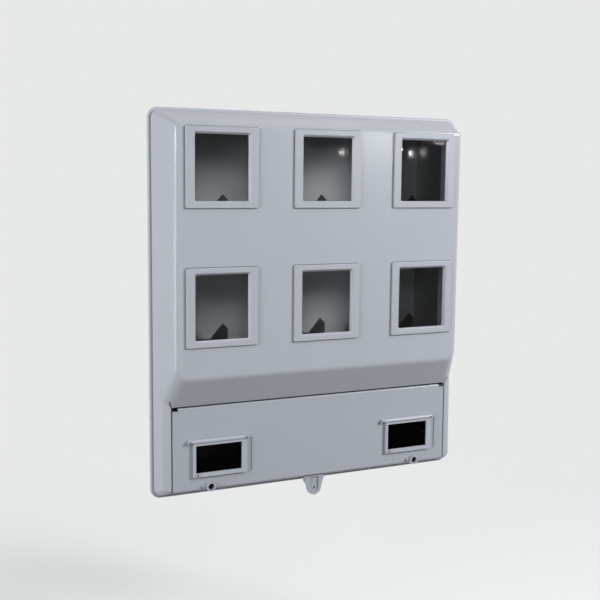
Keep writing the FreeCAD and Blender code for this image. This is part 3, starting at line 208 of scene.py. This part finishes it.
# Painted shade inside the tray: the lighter shade on faces towards the front, the near-black shade on the
# walls round them.
lighter_shade_mask = maths(tray_tree, "LESS_THAN", facing(tray_tree, "Y"), FORWARD)
tray_painted_shade = mix_colours(tray_tree, lighter_shade_mask, SIDE_PAINTED_SHADE, INSIDE_PAINTED_SHADE)
paint_inside_shade(tray_plastic, within_rim, tray_painted_shade, RIM_COLOUR)
dress(tray_plastic, "base_tray")

# Rubber: the joint laid on the base flange and the three grommets pressed into the cable entries, moulded in
# EPDM. The grommets are still black, and the skin of the joint has bloomed to a dull grey.

black_rubber = plastic(
    "black_rubber", (0.022, 0.022, 0.024, 1), mottle=0.20, grain=1600, roughness=0.62, dust=0.20,
    relief=0.00005, specular=0.35)
bloomed_rubber = plastic(
    "bloomed_rubber", (0.290, 0.305, 0.335, 1), mottle=0.20, grain=1600, roughness=0.70, dust=0.20,
    relief=0.00005, specular=0.3)
dress(bloomed_rubber, "cover_gasket")
SHARP_EDGE = math.radians(38)
GROMMET_BORE, GROMMET_NECK = 0.010, 0.0159
GROMMET_LIP, GROMMET_SOFT = 0.0025, 0.0008
GROMMET_STEPS, SOFT_STEPS = 64, 3


def new_piece(name, build, material, body, slot, *nodes):
    """Make a finished mesh into a piece that rides on a body and stands for the CAD nodes named."""
    bmesh.ops.recalc_face_normals(build, faces=build.faces[:])
    mesh = bpy.data.meshes.new(name)
    build.to_mesh(mesh)
    build.free()
    mesh.shade_smooth()
    mesh.set_sharp_from_angle(angle=SHARP_EDGE)
    mesh.materials.append(material)
    piece = bpy.data.objects.new(name, mesh)
    bpy.context.scene.collection.objects.link(piece)
    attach(piece, body)
    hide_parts(*nodes)


def cable_grommet(place):
    """Turned ring with two soft lips and a groove for the wall between them."""
    node = f"cable_grommet_{place}"
    low, high = [Vector(corner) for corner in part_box(node)]
    lip = (high.x - low.x) / 2
    rise = high.z - low.z
    outline = (
        (GROMMET_BORE, 0), (lip - GROMMET_SOFT, 0), (lip, GROMMET_LIP), (GROMMET_NECK, GROMMET_LIP),
        (GROMMET_NECK, rise - GROMMET_LIP), (lip, rise - GROMMET_LIP), (lip - GROMMET_LIP, rise),
        (GROMMET_BORE, rise),
    )
    build = bmesh.new()
    corners = [build.verts.new((radius, 0, level)) for radius, level in outline]
    for near, far in zip(corners, corners[1:] + corners[:1]):
        build.edges.new((near, far))
    bmesh.ops.bevel(
        build, geom=corners + build.edges[:], offset=GROMMET_SOFT, affect="VERTICES", segments=SOFT_STEPS,
        profile=0.5, material=-1)
    bmesh.ops.spin(
        build, geom=build.verts[:] + build.edges[:], cent=(0, 0, 0), axis=(0, 0, 1), angle=math.tau,
        steps=GROMMET_STEPS, use_merge=True)
    middle = (low + high) / 2
    bmesh.ops.translate(build, verts=build.verts[:], vec=(middle.x, middle.y, low.z))
    new_piece(f"grommet_{place}", build, black_rubber, "case", "black_rubber", node)


for place in ("left", "middle", "right"):
    cable_grommet(place)

# Meter brackets: six pointed plates that the meters hang on, moulded in black glass-filled plastic. They
# stand behind the windows on posts of the tray, each held by two screws.

bracket_plastic = plastic(
    "bracket_plastic", (0.014, 0.014, 0.016, 1), mottle=0.30, grain=1300, roughness=0.38, dust=0.08,
    relief=0.00005)
SPOTS = [f"{row}_{column}" for row in ("top", "bottom") for column in ("left", "middle", "right")]
dress(bracket_plastic, *[f"meter_bracket_{spot}" for spot in SPOTS])

# Rails, pins and screws: top-hat rails rolled from steel strip and pan-head screws with a cross recess, both
# plated with bright zinc, and hinge pins cut from blackened steel wire.

LINE_STRETCH, LINE_DETAIL, LINES_ROUGHEN = (60, 2600, 2600), 2, 0.14
STAIN_SCALE, STAIN_DETAIL, STAIN_ROUGHENS = 90, 6, 0.15
STAIN_FROM, STAIN_TO = 0.45, 0.75
LINE_RELIEF = 0.000008


def plated_surface():
    """Plated or bare metal: fine drawing lines, cloudy tarnish and the odd dull spot."""
    group, given, result = new_group(
        "plated_surface",
        (("Colour", "Color", (0.6, 0.6, 0.6, 1)), ("Tarnish", "Color", (0.4, 0.4, 0.4, 1)),
         ("Roughness", "Float", 0.3)),
        SURFACE_RESULTS)
    given = given.outputs
    place = own_place(group)
    drawn = add_node(group, "Mapping", {"Vector": place, "Scale": LINE_STRETCH}).outputs["Vector"]
    lines = noise(group, drawn, 1, LINE_DETAIL)
    stain = between(group, noise(group, place, STAIN_SCALE, STAIN_DETAIL), STAIN_FROM, STAIN_TO)
    rough = maths(group, "MULTIPLY_ADD", lines, LINES_ROUGHEN, given["Roughness"])
    rough = maths(group, "ADD", rough, maths(group, "MULTIPLY", stain, STAIN_ROUGHENS))
    group.links.new(mix_colours(group, stain, given["Colour"], given["Tarnish"]), result.inputs["Colour"])
    group.links.new(rough, result.inputs["Roughness"])
    group.links.new(lines, result.inputs["Height"])
    return group


PLATED = plated_surface()


def metal(name, colour, tarnish, roughness):
    made, tree, shader = new_material(name)
    values = {"Colour": colour, "Tarnish": tarnish, "Roughness": roughness}
    lay_surface(tree, shader, PLATED, values, LINE_RELIEF)
    shader.inputs["Metallic"].default_value = 1
    return made


zinc = metal("zinc_plate", (0.60, 0.61, 0.62, 1), tarnish=(0.42, 0.42, 0.40, 1), roughness=0.24)
dress(zinc, "breaker_rail_left", "breaker_rail_right")
blackened = metal(
    "blackened_steel", (0.030, 0.030, 0.032, 1), tarnish=(0.020, 0.018, 0.016, 1), roughness=0.42)
dress(blackened, "terminal_cover_pins", "flap_pin_left", "flap_pin_right")
PAN_OUTLINE = ((0.72, 1), (0.90, 0.80), (0.98, 0.50), (1, 0.15), (1, 0))
HEAD_STEPS = 36
TIP_SHARE = 0.3
ARM, REACH = 0.11, 0.52
CROSS = (
    (REACH, ARM), (ARM, ARM), (ARM, REACH), (-ARM, REACH), (-ARM, ARM), (-REACH, ARM),
    (-REACH, -ARM), (-ARM, -ARM), (-ARM, -REACH), (ARM, -REACH), (ARM, -ARM), (REACH, -ARM),
)
SLOT = ((0.64, 0.10), (-0.64, 0.10), (-0.64, -0.10), (0.64, -0.10))
RECESS_TAPER, RECESS_DEPTH = 0.75, 0.6


def new_verts(geometry):
    return [item for item in geometry if isinstance(item, bmesh.types.BMVert)]


def screw(build, seat, recess, head, rise, shank, length):
    """Pan head facing the front with a driver recess sunk into it, and its shank behind the seat."""
    seat = Vector(seat)
    outline = [(head * width, -rise * level) for width, level in PAN_OUTLINE]
    outline += [(shank, 0), (shank, length - shank), (shank * TIP_SHARE, length)]
    points = [build.verts.new(seat + Vector((radius, depth, 0))) for radius, depth in outline]
    lines = [build.edges.new(pair) for pair in zip(points, points[1:])]
    bmesh.ops.spin(
        build, geom=points + lines, cent=seat, axis=(0, 1, 0), angle=math.tau, steps=HEAD_STEPS,
        use_merge=True)
    rims = [edge for edge in build.edges if edge.is_boundary]
    bmesh.ops.edgeloop_fill(build, edges=[edge for edge in rims if edge.verts[0].co.y > seat.y])
    top = [edge for edge in rims if edge.verts[0].co.y < seat.y]
    mouth = build.faces.new(
        [build.verts.new(seat + Vector((u * head, -rise, v * head))) for u, v in recess])
    top += mouth.edges[:]
    foot = new_verts(bmesh.ops.extrude_face_region(build, geom=[mouth])["geom"])
    bmesh.ops.scale(
        build, verts=foot, vec=(RECESS_TAPER, 1, RECESS_TAPER), space=Matrix.Translation(-seat))
    bmesh.ops.translate(build, verts=foot, vec=(0, rise * RECESS_DEPTH, 0))
    bmesh.ops.delete(build, geom=[mouth], context="FACES_ONLY")
    bmesh.ops.triangle_fill(build, edges=top, use_beauty=True, normal=(0, -1, 0))


def screw_set(name, seats, sizes, node, recess=CROSS, material=zinc, body="case", slot="screw_steel"):
    build = bmesh.new()
    for seat in seats:
        screw(build, seat, recess, **sizes)
    new_piece(name, build, material, body, slot, node)


SMALL_SCREW = {"head": 0.0040, "rise": 0.0026, "shank": 0.0020, "length": 0.0120}
COVER_SCREW = {"head": 0.0048, "rise": 0.0035, "shank": 0.0024, "length": 0.0195}
BRACKET_SCREW_SIDE, BRACKET_SCREW_DROP = 0.030, 0.044
RAIL_SCREW_SIDE, RAIL_SHEET = 0.040, 0.001


def either_side(box, reach):
    """X of two screws, one on each side of a box's middle."""
    middle = (box[0][0] + box[1][0]) / 2
    return middle - reach, middle + reach


bracket_boxes = [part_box(f"meter_bracket_{spot}") for spot in SPOTS]
screw_set("bracket_pan_screws", [
    (x, box[0][1], box[1][2] - BRACKET_SCREW_DROP)
    for box in bracket_boxes for x in either_side(box, BRACKET_SCREW_SIDE)
], SMALL_SCREW, "bracket_screws")
rail_boxes = [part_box(f"breaker_rail_{side}") for side in ("left", "right")]
screw_set("rail_pan_screws", [
    (x, box[1][1] - RAIL_SHEET, (box[0][2] + box[1][2]) / 2)
    for box in rail_boxes for x in either_side(box, RAIL_SCREW_SIDE)
], SMALL_SCREW, "rail_screws")
low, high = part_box("cover_screws")
head, rise = COVER_SCREW["head"], COVER_SCREW["rise"]
screw_set("cover_pan_screws", [
    (x, low[1] + rise, z) for x in (low[0] + head, high[0] - head) for z in (low[2] + head, high[2] - head)
], COVER_SCREW, "cover_screws")

# Neutral bar: a drawn brass bar with cross-drilled wire holes and a slotted clamp screw over each. Two longer
# screws hold it on a pair of red insulating supports, which are moulded.

brass = metal("bar_brass", (0.78, 0.58, 0.28, 1), tarnish=(0.45, 0.30, 0.14, 1), roughness=0.26)
dress(brass, "neutral_bar")
CLAMP_SCREW = {"head": 0.0028, "rise": 0.0026, "shank": 0.0016, "length": 0.0040}
BAR_SCREW = {"head": 0.0040, "rise": 0.0026, "shank": 0.0020, "length": 0.0130}
CLAMPS_EACH_SIDE, CLAMP_PITCH, BAR_SCREW_SIDE = 3, 0.011, 0.045
low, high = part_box("neutral_bar")
bar_z = (low[2] + high[2]) / 2
bar_screws = bmesh.new()
for step in range(-CLAMPS_EACH_SIDE, CLAMPS_EACH_SIDE + 1):
    screw(bar_screws, (step * CLAMP_PITCH, low[1], bar_z), SLOT, **CLAMP_SCREW)
for x in (-BAR_SCREW_SIDE, BAR_SCREW_SIDE):
    screw(bar_screws, (x, low[1], bar_z), CROSS, **BAR_SCREW)
new_piece("bar_screws", bar_screws, zinc, "case", "screw_steel", "neutral_bar_screws")
support_plastic = plastic(
    "support_plastic", (0.33, 0.030, 0.022, 1), mottle=0.12, grain=900, roughness=0.42, dust=0.1,
    relief=0.00003)
dress(support_plastic, "neutral_bar_supports")

# Main cover: the flared shell with the six window holes and the sloped band, one satin moulding in grey
# plastic with near-black painted shade on its inner faces. Two hooks at its top and four screws under the
# lower cover hold it.

# Painted shade, near black, for the faces of the cover and the window frames that look to the back.
COVER_INSIDE_PAINTED_SHADE = (0.050, 0.052, 0.056, 1)
BACKWARD = 0.2


def facing_back(tree):
    return maths(tree, "GREATER_THAN", facing(tree, "Y"), BACKWARD)


cover_plastic = plastic(
    "cover_plastic", RIM_COLOUR, mottle=0.035, grain=1100, roughness=0.21, dust=0.10, relief=0.000012)
paint_inside_shade(cover_plastic, facing_back, COVER_INSIDE_PAINTED_SHADE, RIM_COLOUR)
dress(cover_plastic, "main_cover")

# Window frames: six separate mouldings pushed into the cover from behind, in a plastic that is a touch paler
# and duller than the cover's, with the same near-black painted shade on their backs.

FRAME_COLOUR = (0.440, 0.468, 0.520, 1)
frame_plastic = plastic(
    "frame_plastic", FRAME_COLOUR, mottle=0.03, grain=1100, roughness=0.26, dust=0.10, relief=0.000010,
    specular=0.35)
paint_inside_shade(frame_plastic, facing_back, COVER_INSIDE_PAINTED_SHADE, FRAME_COLOUR)
dress(frame_plastic, *[f"window_frame_{spot}" for spot in SPOTS])

# Window panes: clear polycarbonate sheets, each laid in the rebate of its frame. Warm forming has left them
# swelling a little to the front inside the lip.

FILM_SCALE, FILM_DETAIL = 35, 6
FILM_FROM, FILM_TO = 0.4, 0.8
WIPED_ROUGHNESS, FILM_ROUGHNESS = 0.060, 0.070


def clear_pane(name, tint, passed, bend):
    """Clear plastic that lets the lamps through, with a faint film of finger marks."""
    made, tree, shader = new_material(name)
    shader.inputs["Base Color"].default_value = tint
    shader.inputs["Transmission Weight"].default_value = 1
    shader.inputs["IOR"].default_value = bend
    film = noise(tree, own_place(tree), FILM_SCALE, FILM_DETAIL)
    rough = between(tree, film, FILM_FROM, FILM_TO, WIPED_ROUGHNESS, FILM_ROUGHNESS)
    tree.links.new(rough, shader.inputs["Roughness"])
    through = add_node(tree, "BsdfTransparent", {"Color": passed})
    shadow = add_node(tree, "LightPath").outputs["Is Shadow Ray"]
    both = add_node(tree, "MixShader", {0: shadow, 1: shader.outputs[0], 2: through.outputs[0]})
    tree.links.new(both.outputs[0], tree.nodes["Material Output"].inputs["Surface"])
    return made


pane_clear = clear_pane(
    "pane_clear", tint=(0.84, 0.86, 0.87, 1), passed=(0.96, 0.96, 0.96, 1), bend=1.13)
CROWN = 0.0024
PANE_LAP, PANE_EASE = 0.004, 0.006
PANE_CELLS = 40


def eased(distance):
    """0 under the lip of the frame, rising smoothly to 1 a little way in from it."""
    share = min(1, max(0, (distance - PANE_LAP) / PANE_EASE))
    return share * share * (3 - 2 * share)


def crowned_pane(spot):
    """Sheet that lies flat under the lip of its frame and swells a little to the front inside it."""
    low, high = [Vector(corner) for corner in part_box(f"window_pane_{spot}")]
    middle = (low + high) / 2
    half = (high - low) / 2
    build = bmesh.new()
    bmesh.ops.create_grid(build, x_segments=PANE_CELLS, y_segments=PANE_CELLS, size=1)
    for vert in build.verts:
        x, z = vert.co.x * half.x, vert.co.y * half.z
        dome = CROWN * (1 - (vert.co.x ** 2 + vert.co.y ** 2) / 2)
        swell = dome * eased(half.x - abs(x)) * eased(half.z - abs(z))
        vert.co = (middle.x + x, low.y - swell, middle.z + z)
    back = new_verts(bmesh.ops.extrude_face_region(build, geom=build.faces[:])["geom"])
    bmesh.ops.translate(build, verts=back, vec=(0, high.y - low.y, 0))
    new_piece(f"pane_{spot}", build, pane_clear, "case", "clear_pane", f"window_pane_{spot}")


for spot in SPOTS:
    crowned_pane(spot)

# Lower cover: the hinged panel over the breakers, moulded in grey plastic together with its sealing collars
# and lug. It turns on two pins at its upper corners.

lid_plastic = plastic(
    "lid_plastic", (0.400, 0.430, 0.482, 1), mottle=0.035, grain=1100, roughness=0.24, dust=0.10,
    relief=0.000012, specular=0.4)
dress(lid_plastic, "terminal_cover")

# Breaker flaps: two small frames moulded in the grey of the window frames, each with a smoked pane. They
# swing up on pins in the lower cover.

flap_plastic = plastic(
    "flap_plastic", FRAME_COLOUR, mottle=0.03, grain=1100, roughness=0.29, dust=0.10, relief=0.000010,
    specular=0.35)
dress(flap_plastic, "breaker_flap_left", "breaker_flap_right")
SMOKE = (0.10, 0.10, 0.11, 1)
pane_smoked = clear_pane("pane_smoked", tint=SMOKE, passed=SMOKE, bend=1.08)
dress(pane_smoked, "breaker_pane_left", "breaker_pane_right")

# Sealing screws: a pair moulded in black nylon with a driver slot, captive in the collars of the lower cover,
# which they hold shut.

seal_nylon = plastic(
    "seal_nylon", (0.006, 0.006, 0.007, 1), mottle=0.20, grain=1300, roughness=0.50, dust=0, relief=0.00003,
    specular=0.12)
SEAL_RISE, SEAL_SHANK = 0.004, 0.0025
for side in ("left", "right"):
    low, high = [Vector(corner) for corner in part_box(f"seal_screw_{side}")]
    middle = (low + high) / 2
    seat_y = low.y + SEAL_RISE
    seal_screw = {
        "head": (high.x - low.x) / 2, "rise": SEAL_RISE, "shank": SEAL_SHANK, "length": high.y - seat_y}
    screw_set(
        f"seal_slotted_{side}", [(middle.x, seat_y, middle.z)], seal_screw, f"seal_screw_{side}",
        SLOT, seal_nylon, f"seal_screw_{side}", "black_plastic")

# Studio: a pale floor well below the box, a pale backdrop and a soft sky. The key lamp stands at the upper
# right with a small spark below it, a strip and a broad fill on the left, a lamp above and one behind.

PALE = (0.80, 0.81, 0.81, 1)
FLOOR_Z, FLOOR_HALF = -0.62, 30
FLOOR_UNSEEN, FLOOR_ROUGHNESS = (0.16, 0.16, 0.16, 1), 0.9
GLOW_FROM, GLOW_TO = 0.2, 1.3

floor_build = bmesh.new()
bmesh.ops.create_grid(floor_build, x_segments=1, y_segments=1, size=FLOOR_HALF)
bmesh.ops.translate(floor_build, verts=floor_build.verts[:], vec=(0, 0, FLOOR_Z))
floor_mesh = bpy.data.meshes.new("floor")
floor_build.to_mesh(floor_mesh)
floor_build.free()
floor = bpy.data.objects.new("floor", floor_mesh)
bpy.context.scene.collection.objects.link(floor)


def seen(tree):
    """1 where the camera looks at it, straight on, through a pane or in a gloss; otherwise 0."""
    path = add_node(tree, "LightPath").outputs
    clear = maths(tree, "MAXIMUM", path["Is Camera Ray"], path["Is Transmission Ray"])
    clear = maths(tree, "MAXIMUM", clear, path["Is Glossy Ray"])
    return maths(tree, "MULTIPLY", clear, maths(tree, "LESS_THAN", path["Diffuse Depth"], 0.5))


def pale_floor():
    """Matt floor that keeps the shadow near the box and fades into the backdrop away from it."""
    made, tree, shader = new_material("pale_floor")
    shader.inputs["Roughness"].default_value = FLOOR_ROUGHNESS
    shader.inputs["Specular IOR Level"].default_value = 0
    tree.links.new(mix_colours(tree, seen(tree), FLOOR_UNSEEN, PALE), shader.inputs["Base Color"])
    flat = add_node(
        tree, "VectorMath", {0: own_place(tree), 1: (1, 1, 0)}, operation="MULTIPLY").outputs[0]
    away = add_node(tree, "VectorMath", {0: flat}, operation="LENGTH").outputs["Value"]
    far = maths(tree, "MULTIPLY", between(tree, away, GLOW_FROM, GLOW_TO), seen(tree))
    glow = add_node(tree, "Emission", {"Color": PALE, "Strength": 1})
    both = add_node(tree, "MixShader", {0: far, 1: shader.outputs[0], 2: glow.outputs[0]})
    tree.links.new(both.outputs[0], tree.nodes["Material Output"].inputs["Surface"])
    return made


floor_mesh.materials.append(pale_floor())

SKY_COLOUR = (0.97, 0.985, 1, 1)
SKY_FROM, SKY_TO = 0.1, 0.8
SKY_LEAST, SKY_MOST = 0.02, 0.40
world = bpy.data.worlds.new("studio")
bpy.context.scene.world = world
world.use_nodes = True
sky = world.node_tree
backdrop = add_node(sky, "Background", {"Color": PALE, "Strength": 1})
height = add_node(sky, "SeparateXYZ", {0: add_node(sky, "TexCoord").outputs["Generated"]}).outputs["Z"]
lift = between(sky, height, SKY_FROM, SKY_TO, SKY_LEAST, SKY_MOST)
ambient = add_node(sky, "Background", {"Color": SKY_COLOUR, "Strength": lift})
either = add_node(sky, "MixShader", {0: seen(sky), 1: ambient.outputs[0], 2: backdrop.outputs[0]})
sky.links.new(either.outputs[0], sky.nodes["World Output"].inputs["Surface"])


def lamp(name, spot, aim, width, length, watts, shape="RECTANGLE"):
    """Soft area lamp at a spot, turned towards a point."""
    light = bpy.data.lights.new(name, "AREA")
    light.shape = shape
    light.size = width
    light.size_y = length
    light.energy = watts
    holder = bpy.data.objects.new(name, light)
    bpy.context.scene.collection.objects.link(holder)
    holder.location = spot
    holder.rotation_euler = (Vector(aim) - Vector(spot)).to_track_quat("-Z", "Y").to_euler()
    holder.visible_camera = False


lamp("key", (1.78, -1.73, 0.92), (0, -0.13, 0.05), width=0.72, length=0.72, watts=51, shape="DISK")
lamp("spark", (1.57, -2.70, 0.45), (0, -0.13, 0.15), width=0.05, length=0.05, watts=2.8, shape="DISK")
lamp("strip", (-1.75, -1.05, 0.40), (-0.25, -0.1, 0.2), width=0.25, length=0.16, watts=10)
lamp("fill", (-2.20, -0.45, 0.30), (-0.25, -0.1, 0.05), width=1.2, length=1.6, watts=25)
lamp("top", (1.30, -1.10, 1.45), (0.16, -0.13, 0.27), width=0.40, length=0.25, watts=5.5)
lamp("back", (0.90, 2.50, 0.80), (0, 0, 0), width=1.5, length=1.5, watts=38)

EYE = (-0.7227, -1.5374, 0.1911)
YAW, TILT, ROLL = -25.734, 83.272, 0.499
FOCAL, SENSOR = 58.95, 36
camera = bpy.data.cameras.new("camera")
camera.lens = FOCAL
camera.sensor_width = SENSOR
view = bpy.data.objects.new("camera", camera)
bpy.context.scene.collection.objects.link(view)
turn = Matrix.Identity(4)
for angle, axis in ((YAW, "Z"), (TILT, "X"), (ROLL, "Z")):
    turn = turn @ Matrix.Rotation(math.radians(angle), 4, axis)
view.matrix_world = Matrix.Translation(EYE) @ turn
bpy.context.scene.camera = view
bpy.context.scene.view_settings.view_transform = "Standard"
